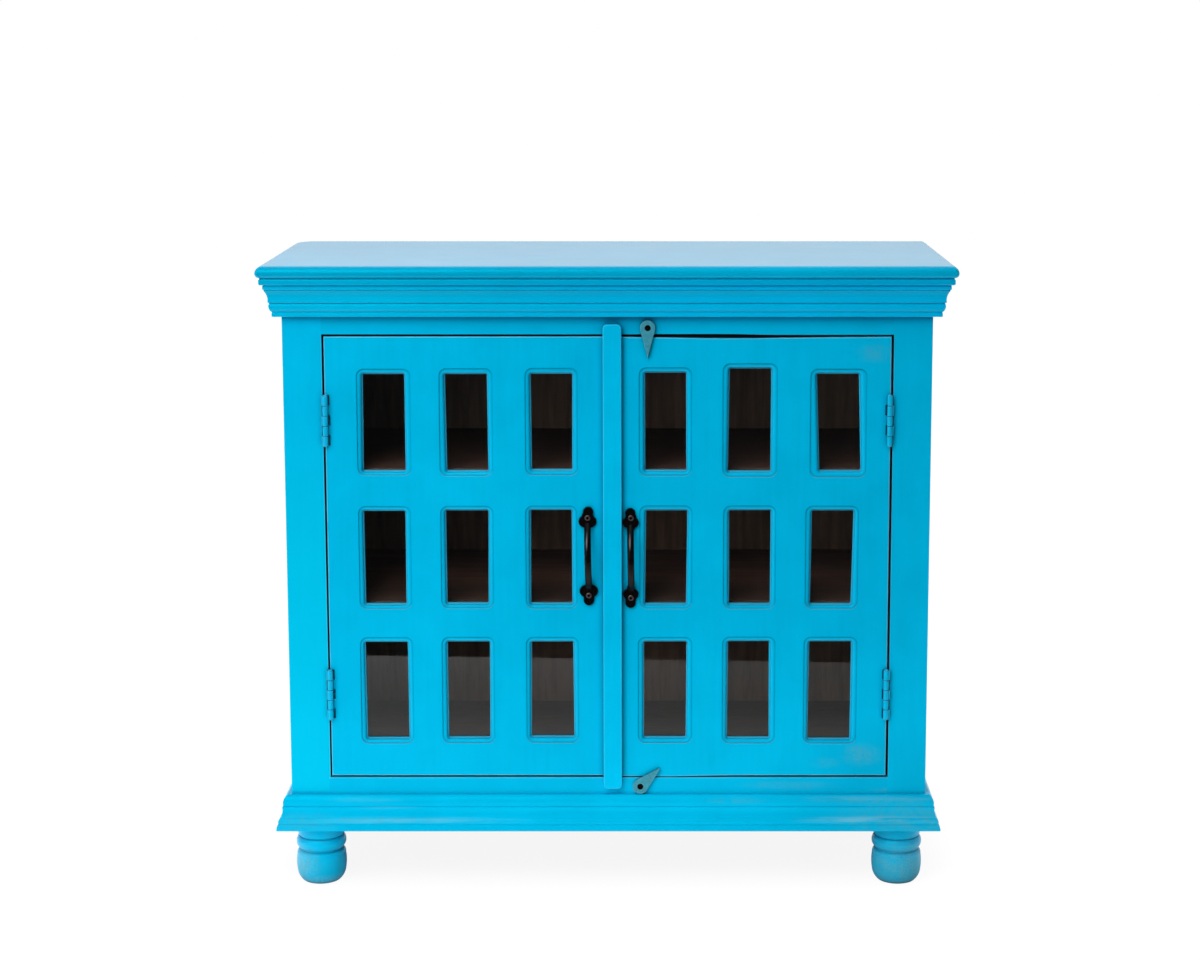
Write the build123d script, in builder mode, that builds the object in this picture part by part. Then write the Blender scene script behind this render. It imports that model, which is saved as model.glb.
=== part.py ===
from build123d import *
import os
from math import acos, cos, sin, radians, hypot

os.makedirs("parts", exist_ok=True)

# Glazed two-door sideboard cabinet on turned bun feet, millimetres.
# +Z up, +X to the right of someone facing the doors, the doors face -Y.
# The origin is on the floor under the middle of the outer box.

# ---------------------------------------------------------------- dimensions
TOP_W, TOP_D, TOP_T = 1052.0, 440.0, 18.0     # top board
TOTAL_H = 971.0                               # floor to upper face of the top
BODY_W = 982.6                                # across the face frame
OVER = 34.5                                   # overhang of the top at the front
FACE = -TOP_D / 2 + OVER                      # plane of the face frame
BACK = TOP_D / 2                              # plane of the back
BACK_CORNER_L, BACK_CORNER_R = 38.0, 10.0     # rounded rear corners of the top
HB = BODY_W / 2

BOARD = 18.0                                  # carcass board
FRAME_T = 22.0                                # face frame
DOOR_T = 21.0                                 # door slab
PANEL_T = 8.0                                 # back panel
STILE_IN = 432.5                              # inner edge of each stile
Z_BASE, Z_BASE_TOP = 93.0, 147.0              # base moulding
Z_RAIL_B, Z_RAIL_T = 172.8, 864.6             # clear height of the door opening
Z_CORNICE = 893.0                             # lower edge of the cornice
Z_TOP = TOTAL_H - TOP_T
Z_FLOOR = 182.0                               # upper face of the bottom board
Z_SHELF_U, Z_SHELF_L = 655.0, 447.0           # upper faces of the shelves

DOOR_EDGE = 429.4                             # hinge edge of each door
DOOR_PROUD = 0.3                              # right door stands this proud, to carry the strip

FOOT_X, FOOT_IN_F, FOOT_IN_R = 450.75, 28.0, 40.0
SPIGOT_R, SPIGOT_L = 5.5, 30.0

HINGE_H = 77.0                                # 3 inch butt hinge
HINGE_Z = (733.4, 305.7)
PIN_X, PIN_Y = 427.9, FACE - 4.7
PIN_R, KNUCKLE_R, RUN = 2.2, 4.1, 0.05        # RUN is the radial running clearance
LEAF_T = 1.4
LEAF_D = 19.0

STRIP_X0, STRIP_X1, STRIP_Z0, STRIP_Z1, STRIP_T = -7.2, 21.2, 157.2, 881.2, 10.0

BUTTON_R, BUTTON_T = 11.6, 5.0
BUTTON_TOP = (60.7, 875.2, -90.0, 46.0)       # pivot x, pivot z, pointing angle in the face plane, length to the tip
BUTTON_BOT = (49.3, 159.4, 43.3, 43.4)
BUTTON_Y = FACE - DOOR_PROUD - 0.5            # rear face of the turn-buttons

HANDLE_L = (-30.2, 523.3)                     # centre of each pull on the door face
HANDLE_R = (35.1, 520.6)

# Windows, hand cut and a little out of square:
# left x at top and bottom, right x at top and bottom, top z, bottom z,
# then the outline of the sunk margin: x0, x1, z1, z0
WIN_L = [
    (-371.5, -372.2, -308.6, -308.4, 803.5, 655.2, -380.6, -298.8, 812.1, 648.2),
    (-246.8, -244.8, -183.2, -182.3, 803.4, 655.2, -255.6, -174.6, 812.8, 647.5),
    (-116.8, -115.6, -53.7, -54.4, 803.8, 656.8, -125.4, -45.6, 813.3, 648.5),
    (-373.1, -372.1, -309.7, -310.1, 592.1, 447.3, -380.8, -300.8, 600.5, 440.3),
    (-247.7, -246.8, -182.6, -183.8, 593.0, 448.4, -255.5, -175.0, 600.9, 441.1),
    (-117.7, -118.2, -55.5, -55.1, 593.5, 448.1, -125.9, -47.2, 601.2, 440.7),
    (-374.0, -372.7, -309.1, -308.4, 386.5, 234.7, -381.4, -300.4, 395.2, 226.7),
    (-247.6, -246.8, -182.5, -183.2, 387.1, 235.7, -256.0, -175.2, 395.8, 227.1),
    (-117.7, -118.7, -54.1, -53.0, 387.0, 237.1, -126.2, -45.4, 395.7, 227.9),
]
WIN_R = [
    (56.8, 57.1, 119.0, 119.6, 805.7, 655.9, 47.6, 127.8, 814.2, 647.7),
    (185.2, 183.1, 248.2, 247.8, 812.1, 654.6, 174.6, 257.6, 820.4, 645.9),
    (317.5, 322.5, 381.3, 385.3, 803.8, 655.5, 307.4, 393.0, 812.2, 645.3),
    (58.5, 56.7, 121.4, 119.6, 593.0, 447.7, 48.4, 128.8, 601.6, 440.7),
    (185.4, 185.7, 248.8, 248.4, 593.3, 447.5, 176.4, 256.6, 601.5, 440.5),
    (312.0, 310.2, 375.6, 372.6, 593.0, 447.3, 301.8, 382.8, 601.2, 440.3),
    (55.2, 55.0, 120.5, 119.4, 387.2, 236.0, 46.0, 129.0, 395.6, 227.5),
    (184.5, 183.5, 247.5, 248.1, 387.8, 235.4, 175.6, 257.0, 396.2, 226.9),
    (309.8, 308.1, 374.2, 373.4, 387.5, 233.5, 300.8, 382.8, 396.0, 226.5),
]
SINK = 1.4                                    # depth of the sunk margin
RIM = 2.0                                     # width of the ledge round each opening
RIM_DEPTH = 7.4                               # depth of that ledge behind the face
OVOLO = 4.7                                   # quarter round between the margin and the ledge
REBATE = 10.0                                 # depth of the glazing rebate
GLASS_T = 3.0
GLAZE_L = (-392.0, -36.0, 220.0, 828.0)       # glazing rebate: x0, x1, z0, z1
GLAZE_R = (42.0, 402.0, 220.0, 832.0)
BEAD_W = 10.0

HOLE_FIT = 0.05

parts = {}


def slab(x0, x1, y0, y1, z0, z1, mode=Mode.ADD):
    """A board between two corners, in the builder that is open."""
    with Locations(((x0 + x1) / 2, (y0 + y1) / 2, (z0 + z1) / 2)):
        Box(x1 - x0, y1 - y0, z1 - z0, mode=mode)


def keep(node, name):
    """Label a finished piece and write it."""
    part = node.part
    part.label = name
    export_step(part, f"parts/{name}.step")
    parts[name] = part


# ---------------------------------------------------------------- top board
with BuildPart() as top_board:
    with BuildSketch(Plane.XY.offset(Z_TOP)):
        Rectangle(TOP_W, TOP_D)
    extrude(amount=TOP_T)
    rear = top_board.edges().filter_by(Axis.Z).group_by(Axis.Y)[-1].sort_by(Axis.X)
    fillet(rear[0], radius=BACK_CORNER_L)
    rear = top_board.edges().filter_by(Axis.Z).sort_by(Axis.X)[-2:].sort_by(Axis.Y)
    fillet(rear[-1], radius=BACK_CORNER_R)
    fillet(top_board.edges().filter_by(Axis.Z).group_by(Axis.Y)[0], radius=4.0)
    # bull-nosed front, sides and rear corners; the straight rear edge stays square
    nose = top_board.edges().filter_by(Plane.XY).filter_by(
        lambda e: not (e.geom_type == GeomType.LINE and e.center().Y > BACK - 0.1))
    nose = [e for e in nose if e.center().Y < BACK - 60]
    upper = [e for e in nose if e.center().Z > Z_TOP + TOP_T / 2]
    fillet(upper, radius=11.0)
    nose = top_board.edges().filter_by(Plane.XY).filter_by(
        lambda e: e.center().Z < Z_TOP + 0.1 and e.center().Y < BACK - 60)
    fillet(nose, radius=6.8)
keep(top_board, "top_board")


# ---------------------------------------------------------------- mouldings
def cornice_section():
    """Cornice section, local x outwards, local y up: bead, cove, fillet and band, parted by quirks."""
    with BuildSketch() as section:
        with BuildLine():
            Polyline((0, 893.0), (12.2, 893.0), (12.9, 893.7), (12.9, 898.4), (12.5, 899.2), (12.5, 900.4), (13.2, 900.9))
            ThreePointArc((13.2, 900.9), (15.9, 904.6), (16.9, 909.2))
            ThreePointArc((16.9, 909.2), (16.7, 911.6), (15.9, 913.2))
            Polyline((15.9, 913.2), (15.9, 914.2), (17.2, 914.7), (18.0, 915.6))
            ThreePointArc((18.0, 915.6), (18.4, 924.5), (22.9, 933.6))
            Polyline((22.9, 933.6), (22.5, 934.0), (22.5, 934.7), (23.5, 935.1), (24.3, 935.9), (24.3, 940.3),
                     (23.8, 940.9), (23.8, 941.9), (27.6, 942.4), (28.9, 943.4), (29.3, 944.6), (29.3, 949.6),
                     (28.9, 950.8), (27.9, 951.5), (27.9, Z_TOP), (0, Z_TOP), (0, 893.0))
        make_face()
    return section.sketch


def base_section():
    """Base moulding section, local x outwards, local y up: bead, cove, bead and band, parted by quirks."""
    with BuildSketch() as section:
        with BuildLine():
            Polyline((0, Z_BASE), (21.4, Z_BASE), (22.3, Z_BASE + 0.9), (22.2, Z_BASE + 3.0), (21.0, 101.4), (20.4, 102.3),
                     (19.4, 102.6), (19.2, 103.2), (19.3, 104.3))
            ThreePointArc((19.3, 104.3), (19.2, 108.6), (16.2, 112.8))
            ThreePointArc((16.2, 112.8), (13.8, 119.4), (13.7, 128.4))
            Polyline((13.7, 128.4), (13.4, 129.3), (12.4, 129.7), (12.2, 130.4), (12.2, 131.2))
            ThreePointArc((12.2, 131.2), (12.1, 138.6), (7.2, 146.3))
            Polyline((7.2, 146.3), (6.3, Z_BASE_TOP), (0, Z_BASE_TOP), (0, Z_BASE))
        make_face()
    return section.sketch


# mitre planes at the two front corners of the body
MITRE_L = Plane(origin=(-HB, FACE, 0), z_dir=(1, -1, 0))
MITRE_R = Plane(origin=(HB, FACE, 0), z_dir=(-1, -1, 0))
FRONT_PLANE = Plane(origin=(-TOP_W / 2, FACE, 0), x_dir=(0, -1, 0), z_dir=(-1, 0, 0))
SIDE_L_PLANE = Plane(origin=(-HB, BACK, 0), x_dir=(-1, 0, 0), z_dir=(0, 1, 0))
SIDE_R_PLANE = Plane(origin=(HB, BACK, 0), x_dir=(1, 0, 0), z_dir=(0, -1, 0))

with BuildPart() as cornice_front:
    with BuildSketch(FRONT_PLANE):
        add(cornice_section())
    extrude(amount=-TOP_W)
    split(bisect_by=MITRE_L, keep=Keep.TOP)
    split(bisect_by=MITRE_R, keep=Keep.TOP)
keep(cornice_front, "cornice_front")

with BuildPart() as cornice_left:
    with BuildSketch(SIDE_L_PLANE):
        add(cornice_section())
    extrude(amount=-(TOP_D + 5))
    split(bisect_by=MITRE_L, keep=Keep.BOTTOM)
keep(cornice_left, "cornice_left")

with BuildPart() as cornice_right:
    with BuildSketch(SIDE_R_PLANE):
        add(cornice_section())
    extrude(amount=TOP_D + 5)
    split(bisect_by=MITRE_R, keep=Keep.BOTTOM)
keep(cornice_right, "cornice_right")

with BuildPart() as base_front:
    with BuildSketch(FRONT_PLANE):
        add(base_section())
    extrude(amount=-TOP_W)
    split(bisect_by=MITRE_L, keep=Keep.TOP)
    split(bisect_by=MITRE_R, keep=Keep.TOP)
keep(base_front, "base_front")

with BuildPart() as base_left:
    with BuildSketch(SIDE_L_PLANE):
        add(base_section())
    extrude(amount=-(TOP_D + 5))
    split(bisect_by=MITRE_L, keep=Keep.BOTTOM)
keep(base_left, "base_left")

with BuildPart() as base_right:
    with BuildSketch(SIDE_R_PLANE):
        add(base_section())
    extrude(amount=TOP_D + 5)
    split(bisect_by=MITRE_R, keep=Keep.BOTTOM)
keep(base_right, "base_right")


# ---------------------------------------------------------------- hardware that cuts its seats
def wood_screws(centres, direction, head_r=3.6, shank_r=1.8, length=17.0):
    """Countersunk screws; direction is +1 or -1 along X."""
    with BuildPart() as screws:
        for x, y, z in centres:
            with BuildSketch(Plane(origin=(x, y, z), x_dir=(direction, 0, 0), z_dir=(0, 0, 1))):
                with BuildLine():
                    Polyline((0, 0), (0, head_r), (1.9, shank_r), (length - 3, shank_r), (length, 0.3), (length, 0), (0, 0))
                make_face()
            revolve(axis=Axis((x, y, z), (direction, 0, 0)))
    return screws.part


LEAF_FRAME = STILE_IN - 0.2                   # showing face of the frame leaf
LEAF_DOOR = DOOR_EDGE + 0.2                   # showing face of the door leaf
SCREW_DZ = (-26.0, 0.0, 26.0)
frame_screw_at = [(s * LEAF_FRAME, FACE + (9.0 if dz else 13.0), z + dz)
                  for s in (-1, 1) for z in HINGE_Z for dz in SCREW_DZ]
door_screw_at = {s: [(s * LEAF_DOOR, FACE + (13.0 if dz else 9.0), z + dz) for z in HINGE_Z for dz in SCREW_DZ]
                 for s in (-1, 1)}

with BuildPart() as hinge_frame_screws:
    add(wood_screws([c for c in frame_screw_at if c[0] < 0], -1))
    add(wood_screws([c for c in frame_screw_at if c[0] > 0], 1))
keep(hinge_frame_screws, "hinge_frame_screws")

with BuildPart() as left_door_hinge_screws:
    add(wood_screws(door_screw_at[-1], 1))
keep(left_door_hinge_screws, "left_door_hinge_screws")

with BuildPart() as right_door_hinge_screws:
    add(wood_screws(door_screw_at[1], -1))
keep(right_door_hinge_screws, "right_door_hinge_screws")

# pivot screws of the two turn-buttons: a dark pan head sunk in the button, shank into the rail
HEAD_Y = BUTTON_Y - BUTTON_T + 2.2            # floor of the counterbore
with BuildPart() as button_screws:
    for px, pz, _, _ in (BUTTON_TOP, BUTTON_BOT):
        with BuildSketch(Plane(origin=(px, HEAD_Y, pz), x_dir=(0, 1, 0), z_dir=(0, 0, 1))):
            with BuildLine():
                Polyline((-1.7, 0), (-1.7, 3.2), (-1.2, 4.1), (-0.1, 4.2), (-0.1, 2.5), (17.0, 2.5), (20.0, 0.4), (20.0, 0), (-1.7, 0))
            make_face()
        revolve(axis=Axis((px, HEAD_Y, pz), (0, 1, 0)))
        with Locations((px, HEAD_Y - 1.7, pz)):
            Box(7.0, 1.2, 0.9, mode=Mode.SUBTRACT)
keep(button_screws, "button_screws")

# ---------------------------------------------------------------- face frame
TENON = 30.0
TEN_Y0, TEN_Y1 = FACE + 7.0, FACE + 15.0


def stile(sign, low, high):
    """One stile, with its mortises and hinge seats.
    low and high are the inner edge beside the lower and the upper end of the doors."""
    with BuildPart() as board:
        with BuildSketch(Plane.XZ.offset(-FACE)):
            Polygon((sign * HB, Z_BASE), (sign * STILE_IN, Z_BASE), (sign * STILE_IN, Z_RAIL_B), (sign * low, Z_RAIL_B),
                    (sign * high, 864.9), (sign * STILE_IN, 864.9), (sign * STILE_IN, Z_TOP), (sign * HB, Z_TOP), align=None)
        extrude(amount=-FRAME_T)
        m0, m1 = sorted((sign * STILE_IN, sign * (STILE_IN + TENON)))
        slab(m0, m1, TEN_Y0, TEN_Y1, 104.0, 164.0, mode=Mode.SUBTRACT)
        slab(m0, m1, TEN_Y0, TEN_Y1, 876.0, 944.0, mode=Mode.SUBTRACT)
        for z in HINGE_Z:
            h0, h1 = sorted((sign * (STILE_IN - 4), sign * (LEAF_FRAME + LEAF_T)))
            slab(h0, h1, FACE - 1, FACE + LEAF_D, z - HINGE_H / 2, z + HINGE_H / 2, mode=Mode.SUBTRACT)
        add(hinge_frame_screws.part, mode=Mode.SUBTRACT)
    return board.part


with BuildPart() as stile_left:
    add(stile(-1, 430.8, 432.2))
keep(stile_left, "stile_left")

with BuildPart() as stile_right:
    add(stile(1, 432.9, 432.9))
keep(stile_right, "stile_right")

with BuildPart() as rail_top:
    # the lower edge was planed by hand: it runs high over the inner half of the right door
    with BuildSketch(Plane.XZ.offset(-FACE)):
        with BuildLine():
            Polyline((-STILE_IN, 864.9), (-STILE_IN, Z_TOP), (STILE_IN, Z_TOP), (STILE_IN, 864.1), (262.0, 864.1))
            Spline((262.0, 864.1), (232.0, 864.5), (200.0, 865.1), (170.0, 865.4), (90.0, 865.3), (24.0, 864.9),
                   tangents=[(-1, 0), (-1, 0)])
            Line((24.0, 864.9), (-STILE_IN, 864.9))
        make_face()
    extrude(amount=-FRAME_T)
    low = rail_top.edges().filter_by_position(Axis.Y, FACE - 0.01, FACE + 0.01).filter_by(lambda e: e.center().Z < 870)
    fillet(low, radius=0.9)
    slab(-STILE_IN - TENON, STILE_IN + TENON, TEN_Y0, TEN_Y1, 876.0, 944.0)
    add(button_screws.part, mode=Mode.SUBTRACT)
keep(rail_top, "rail_top")

with BuildPart() as rail_bottom:
    slab(-STILE_IN, STILE_IN, FACE, FACE + FRAME_T, Z_BASE, Z_RAIL_B)
    high = rail_bottom.edges().filter_by(Axis.X).group_by(Axis.Z)[-1].sort_by(Axis.Y)[0]
    fillet(high, radius=0.9)
    slab(-STILE_IN - TENON, STILE_IN + TENON, TEN_Y0, TEN_Y1, 104.0, 164.0)
    add(button_screws.part, mode=Mode.SUBTRACT)
keep(rail_bottom, "rail_bottom")

# ---------------------------------------------------------------- carcass
IN_Y = FACE + FRAME_T                         # rear of the face frame
PANEL_Y = BACK - PANEL_T                      # front of the back panel
SIDE_IN = HB - BOARD                          # inner face of each side
RABBET = 9.0

with BuildPart() as side_left:
    slab(-HB, -SIDE_IN, IN_Y, BACK, Z_BASE, Z_TOP)
    slab(-HB + RABBET, -SIDE_IN, PANEL_Y, BACK, Z_BASE, Z_TOP, mode=Mode.SUBTRACT)
keep(side_left, "side_left")

with BuildPart() as side_right:
    slab(SIDE_IN, HB, IN_Y, BACK, Z_BASE, Z_TOP)
    slab(SIDE_IN, HB - RABBET, PANEL_Y, BACK, Z_BASE, Z_TOP, mode=Mode.SUBTRACT)
keep(side_right, "side_right")

with BuildPart() as back_panel:
    slab(-HB + RABBET, HB - RABBET, PANEL_Y, BACK, Z_BASE, Z_TOP)
keep(back_panel, "back_panel")

with BuildPart() as bottom_board:
    slab(-SIDE_IN, SIDE_IN, IN_Y, PANEL_Y, Z_FLOOR - BOARD, Z_FLOOR)
keep(bottom_board, "bottom_board")

SHELF_Y0 = IN_Y + 6.0
with BuildPart() as shelf_upper:
    slab(-SIDE_IN, SIDE_IN, SHELF_Y0, PANEL_Y, Z_SHELF_U - BOARD, Z_SHELF_U)
    nose_edge = shelf_upper.edges().filter_by(Axis.X).group_by(Axis.Y)[0]
    fillet(nose_edge, radius=2.0)
keep(shelf_upper, "shelf_upper")

with BuildPart() as shelf_lower:
    slab(-SIDE_IN, SIDE_IN, SHELF_Y0, PANEL_Y, Z_SHELF_L - BOARD, Z_SHELF_L)
    nose_edge = shelf_lower.edges().filter_by(Axis.X).group_by(Axis.Y)[0]
    fillet(nose_edge, radius=2.0)
keep(shelf_lower, "shelf_lower")

for name, sign, z in (("cleat_upper_left", -1, Z_SHELF_U), ("cleat_upper_right", 1, Z_SHELF_U),
                      ("cleat_lower_left", -1, Z_SHELF_L), ("cleat_lower_right", 1, Z_SHELF_L)):
    with BuildPart() as cleat:
        a, b = sorted((sign * SIDE_IN, sign * (SIDE_IN - 16)))
        slab(a, b, SHELF_Y0 + 8, PANEL_Y - 4, z - BOARD - 20, z - BOARD)
        front = cleat.edges().filter_by(Axis.Z).group_by(Axis.Y)[0]
        chamfer(front.sort_by(Axis.X)[0 if sign > 0 else -1], length=6.0)
    keep(cleat, name)

with BuildPart() as top_stop_rail:
    slab(-SIDE_IN, SIDE_IN, IN_Y, IN_Y + 20.0, Z_RAIL_T - 12.0, Z_TOP)
keep(top_stop_rail, "top_stop_rail")

# ---------------------------------------------------------------- feet and their blocks
feet_at = {"front_left": (-FOOT_X, FACE + FOOT_IN_F), "front_right": (FOOT_X, FACE + FOOT_IN_F),
           "rear_left": (-FOOT_X, BACK - FOOT_IN_R), "rear_right": (FOOT_X, BACK - FOOT_IN_R)}
BLOCK = 72.0
for place, (fx, fy) in feet_at.items():
    with BuildPart() as block:
        a, b = sorted(((1 if fx > 0 else -1) * SIDE_IN, (1 if fx > 0 else -1) * (SIDE_IN - BLOCK)))
        c, d = (IN_Y, IN_Y + BLOCK) if fy < 0 else (PANEL_Y - BLOCK, PANEL_Y)
        slab(a, b, c, d, Z_BASE, Z_FLOOR - BOARD)
        with BuildSketch(Plane.XY.offset(Z_BASE)):
            with Locations((fx, fy)):
                Circle(SPIGOT_R)
        extrude(amount=SPIGOT_L + 2.0, mode=Mode.SUBTRACT)
    keep(block, f"block_{place}")

for place, (fx, fy) in feet_at.items():
    with BuildPart() as foot:
        with BuildSketch(Plane(origin=(fx, fy, 0), x_dir=(1, 0, 0), z_dir=(0, -1, 0))):
            with BuildLine():
                Polyline((0, 0), (26.2, 0), (28.8, 1.0))
                ThreePointArc((28.8, 1.0), (34.6, 7.8), (37.9, 18.4))
                ThreePointArc((37.9, 18.4), (38.9, 31.0), (37.9, 43.0))
                ThreePointArc((37.9, 43.0), (36.6, 48.6), (33.4, 51.4))
                Polyline((33.4, 51.4), (32.9, 51.9), (32.9, 53.0), (33.8, 53.4))
                ThreePointArc((33.8, 53.4), (38.7, 63.6), (35.4, 72.6))
                Polyline((35.4, 72.6), (34.0, 73.1), (34.0, 74.5), (35.6, 75.3), (36.1, 76.2), (36.1, Z_BASE), (SPIGOT_R, Z_BASE),
                         (SPIGOT_R, Z_BASE + SPIGOT_L - 2), (SPIGOT_R - 1.5, Z_BASE + SPIGOT_L),
                         (0, Z_BASE + SPIGOT_L), (0, 0))
            make_face()
        revolve(axis=Axis((fx, fy, 0), (0, 0, 1)))
    keep(foot, f"foot_{place}")

# ---------------------------------------------------------------- hinges
KN = HINGE_H / 5                              # knuckle pitch
KN_GAP = 0.3                                  # half the gap between two knuckles


def knuckles(sign, zc, which, bore):
    """The barrel pieces of one leaf: rings on the pin axis."""
    with BuildPart() as rings:
        for k in which:
            z0 = zc + HINGE_H / 2 - (k + 1) * KN + KN_GAP
            with BuildSketch(Plane(origin=(sign * PIN_X, PIN_Y, z0), x_dir=(1, 0, 0), z_dir=(0, -1, 0))):
                h = KN - 2 * KN_GAP
                with BuildLine():
                    Polyline((bore, 0), (KNUCKLE_R - 0.5, 0), (KNUCKLE_R, 0.5), (KNUCKLE_R, h - 0.5),
                             (KNUCKLE_R - 0.5, h), (bore, h), (bore, 0))
                make_face()
            revolve(axis=Axis((sign * PIN_X, PIN_Y, z0), (0, 0, 1)))
    return rings.part


def frame_leaf(sign, zc, which):
    """A hinge leaf let into the stile, with its tabs and knuckles."""
    a, b = sorted((sign * LEAF_FRAME, sign * (LEAF_FRAME + LEAF_T)))
    slab(a, b, FACE + 0.8, FACE + LEAF_D, zc - HINGE_H / 2, zc + HINGE_H / 2)
    add(knuckles(sign, zc, which, PIN_R))
    for k in which:
        z0 = zc + HINGE_H / 2 - (k + 1) * KN + KN_GAP
        z1 = z0 + KN - 2 * KN_GAP
        slab(a, b, PIN_Y - 0.6, FACE + 0.8, z0, z1)
        c, d = sorted((sign * (PIN_X + 2.7), sign * (LEAF_FRAME + LEAF_T)))
        slab(c, d, PIN_Y - 0.6, PIN_Y + 0.8, z0, z1)
    add(hinge_frame_screws.part, mode=Mode.SUBTRACT)


def door_leaf(sign, zc, which, screws):
    """A hinge leaf let into the door's edge, with its tabs and knuckles."""
    a, b = sorted((sign * LEAF_DOOR, sign * (LEAF_DOOR - LEAF_T)))
    slab(a, b, FACE + 0.8, FACE + LEAF_D, zc - HINGE_H / 2, zc + HINGE_H / 2)
    add(knuckles(sign, zc, which, PIN_R + RUN))
    for k in which:
        z0 = zc + HINGE_H / 2 - (k + 1) * KN + KN_GAP
        z1 = z0 + KN - 2 * KN_GAP
        slab(a, b, PIN_Y + 2.6, FACE + 0.8, z0, z1)
    add(screws, mode=Mode.SUBTRACT)


OUTER, INNER = (0, 2, 4), (1, 3)
with BuildPart() as hinge_frame_leaf_upper_left:
    frame_leaf(-1, HINGE_Z[0], OUTER)
keep(hinge_frame_leaf_upper_left, "hinge_frame_leaf_upper_left")
with BuildPart() as hinge_frame_leaf_lower_left:
    frame_leaf(-1, HINGE_Z[1], OUTER)
keep(hinge_frame_leaf_lower_left, "hinge_frame_leaf_lower_left")
with BuildPart() as hinge_frame_leaf_upper_right:
    frame_leaf(1, HINGE_Z[0], INNER)
keep(hinge_frame_leaf_upper_right, "hinge_frame_leaf_upper_right")
with BuildPart() as hinge_frame_leaf_lower_right:
    frame_leaf(1, HINGE_Z[1], OUTER)
keep(hinge_frame_leaf_lower_right, "hinge_frame_leaf_lower_right")

with BuildPart() as left_door_leaf_upper:
    door_leaf(-1, HINGE_Z[0], INNER, left_door_hinge_screws.part)
keep(left_door_leaf_upper, "left_door_leaf_upper")
with BuildPart() as left_door_leaf_lower:
    door_leaf(-1, HINGE_Z[1], INNER, left_door_hinge_screws.part)
keep(left_door_leaf_lower, "left_door_leaf_lower")
with BuildPart() as right_door_leaf_upper:
    door_leaf(1, HINGE_Z[0], OUTER, right_door_hinge_screws.part)
keep(right_door_leaf_upper, "right_door_leaf_upper")
with BuildPart() as right_door_leaf_lower:
    door_leaf(1, HINGE_Z[1], INNER, right_door_hinge_screws.part)
keep(right_door_leaf_lower, "right_door_leaf_lower")

with BuildPart() as hinge_pins:
    for sign in (-1, 1):
        for zc in HINGE_Z:
            with BuildSketch(Plane(origin=(sign * PIN_X, PIN_Y, zc), x_dir=(1, 0, 0), z_dir=(0, -1, 0))):
                h = HINGE_H / 2
                with BuildLine():
                    Polyline((0, -h - 1.4), (2.2, -h - 1.4), (3.4, -h - 0.8), (3.4, -h), (PIN_R, -h), (PIN_R, h),
                             (3.4, h), (3.4, h + 0.8), (2.2, h + 1.6), (0, h + 1.8), (0, -h - 1.4))
                make_face()
            revolve(axis=Axis((sign * PIN_X, PIN_Y, zc), (0, 0, 1)))
keep(hinge_pins, "hinge_pins")


# ---------------------------------------------------------------- pulls
def pull_screws(cx, cz, face, up, down, lean):
    """Two round-headed screws, each with a dished head."""
    with BuildPart() as screws:
        for dz in (up, -down):
            x = cx - lean * dz
            with BuildSketch(Plane(origin=(x, face, cz + dz), x_dir=(0, 1, 0), z_dir=(0, 0, 1))):
                with BuildLine():
                    Polyline((-4.0, 0), (-4.0, 1.7), (-5.2, 2.3), (-5.4, 3.2), (-4.6, 4.3), (-3.6, 4.4), (-3.6, 1.9),
                             (10.5, 1.9), (13.0, 0.3), (13.0, 0), (-4.0, 0))
                make_face()
            revolve(axis=Axis((x, face, cz + dz), (0, 1, 0)))
    return screws.part


def pull(cx, cz, face, screws, plates, bar, lean, bar_lean):
    """A cast pull: two trefoil plates and a bowed bar, leaning a little from the upright.
    Each plate gives the heights of its side lobes, waist and end lobe, then their radii, the lobes' spread
    and the end lobe's own offset."""
    with BuildPart() as casting:
        for s, (z_side, z_waist, z_end, r_side, r_waist, r_end, spread, off) in zip((1, -1), plates):
            with BuildSketch(Plane(origin=(cx, face, cz), x_dir=(1, 0, 0), z_dir=(0, -1, 0))):
                with Locations((off - lean * s * z_end, s * z_end)):
                    Circle(r_end)
                with Locations((spread - lean * s * z_side, s * z_side), (-spread - lean * s * z_side, s * z_side)):
                    Circle(r_side)
                with Locations((-lean * s * z_waist, s * z_waist)):
                    Circle(r_waist)
                with Locations((-lean * s * 46.0, s * 47.0)):
                    Circle(6.4)
            extrude(amount=3.6, taper=9)
        with BuildLine(Plane(origin=(cx, face, cz), x_dir=(0, 1, 0), z_dir=(1, 0, bar_lean))) as bow:
            ThreePointArc((-1.9, 50.0), (-24.6, 0), (-1.9, -50.0))
        with BuildSketch(Plane(origin=bow.wires()[0] @ 0, x_dir=(1, 0, bar_lean), z_dir=bow.wires()[0] % 0)):
            Ellipse(bar, 3.6)
        sweep(path=bow.wires()[0])
        # trim what runs behind the back of the plates
        slab(cx - 20, cx + 20, face, face + 15, cz - 90, cz + 90, mode=Mode.SUBTRACT)
        add(screws, mode=Mode.SUBTRACT)
    return casting.part


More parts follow.
